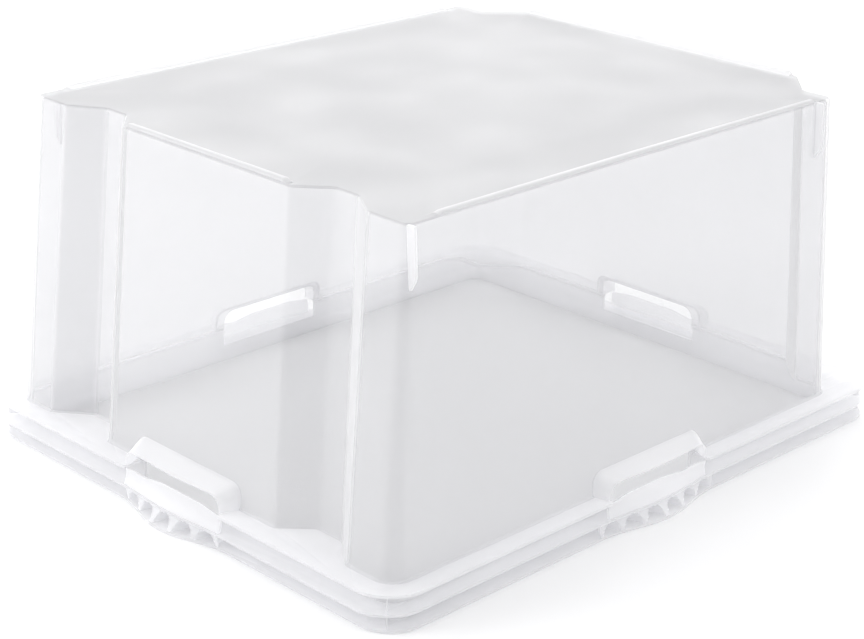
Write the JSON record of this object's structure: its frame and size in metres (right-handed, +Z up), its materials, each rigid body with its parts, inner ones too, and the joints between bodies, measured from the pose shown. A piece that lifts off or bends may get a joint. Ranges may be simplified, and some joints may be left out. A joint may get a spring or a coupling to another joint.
{
  "type": "stackable storage box",
  "caption": "Clear frosted plastic storage box with stacking channels, a tiered flanged rim and a hooded hand grip on each side, standing mouth down.",
  "frame": {"origin": "centre of the footprint, on the plane of the mouth that the box stands on", "axes": "+X along the long side, away from the end with the two stacking channels; +Y across; +Z up from the mouth to the floor panel"},
  "size_m": [0.549, 0.4562, 0.263],
  "materials": {
    "frosted_floor": "fine frosted texture",
    "clear_wall": "translucent polypropylene, satin",
    "rim_plastic": "translucent polypropylene, satin",
    "grip_plastic": "translucent polypropylene, satin",
    "ridge_plastic": "translucent polypropylene, satin"
  },
  "bodies": {
    "root": {"floor_panel": "frosted_floor", "near_end_wall": "clear_wall", "far_end_wall": "clear_wall", "left_side_wall": "clear_wall", "right_side_wall": "clear_wall", "near_left_channel": "clear_wall", "near_right_channel": "clear_wall", "near_left_post": "clear_wall", "near_right_post": "clear_wall", "far_left_corner": "clear_wall", "far_right_corner": "clear_wall", "mouth_collar": "rim_plastic", "upper_flange": "rim_plastic", "middle_flange": "rim_plastic", "lower_flange": "rim_plastic", "near_grip_hood": "grip_plastic", "near_grip_bar": "grip_plastic", "near_grip_teeth": "grip_plastic", "far_grip_hood": "grip_plastic", "far_grip_bar": "grip_plastic", "far_grip_teeth": "grip_plastic", "right_grip_hood": "grip_plastic", "right_grip_bar": "grip_plastic", "right_grip_teeth": "grip_plastic", "left_grip_hood": "grip_plastic", "left_grip_bar": "grip_plastic", "left_grip_teeth": "grip_plastic", "near_foot_ridge": "ridge_plastic", "far_foot_ridge": "ridge_plastic", "right_foot_ridge": "ridge_plastic", "left_foot_ridge": "ridge_plastic", "near_left_spacer_rib": "ridge_plastic", "near_right_spacer_rib": "ridge_plastic", "far_left_spacer_rib": "ridge_plastic", "far_right_spacer_rib": "ridge_plastic"}
  },
  "joints": []
}
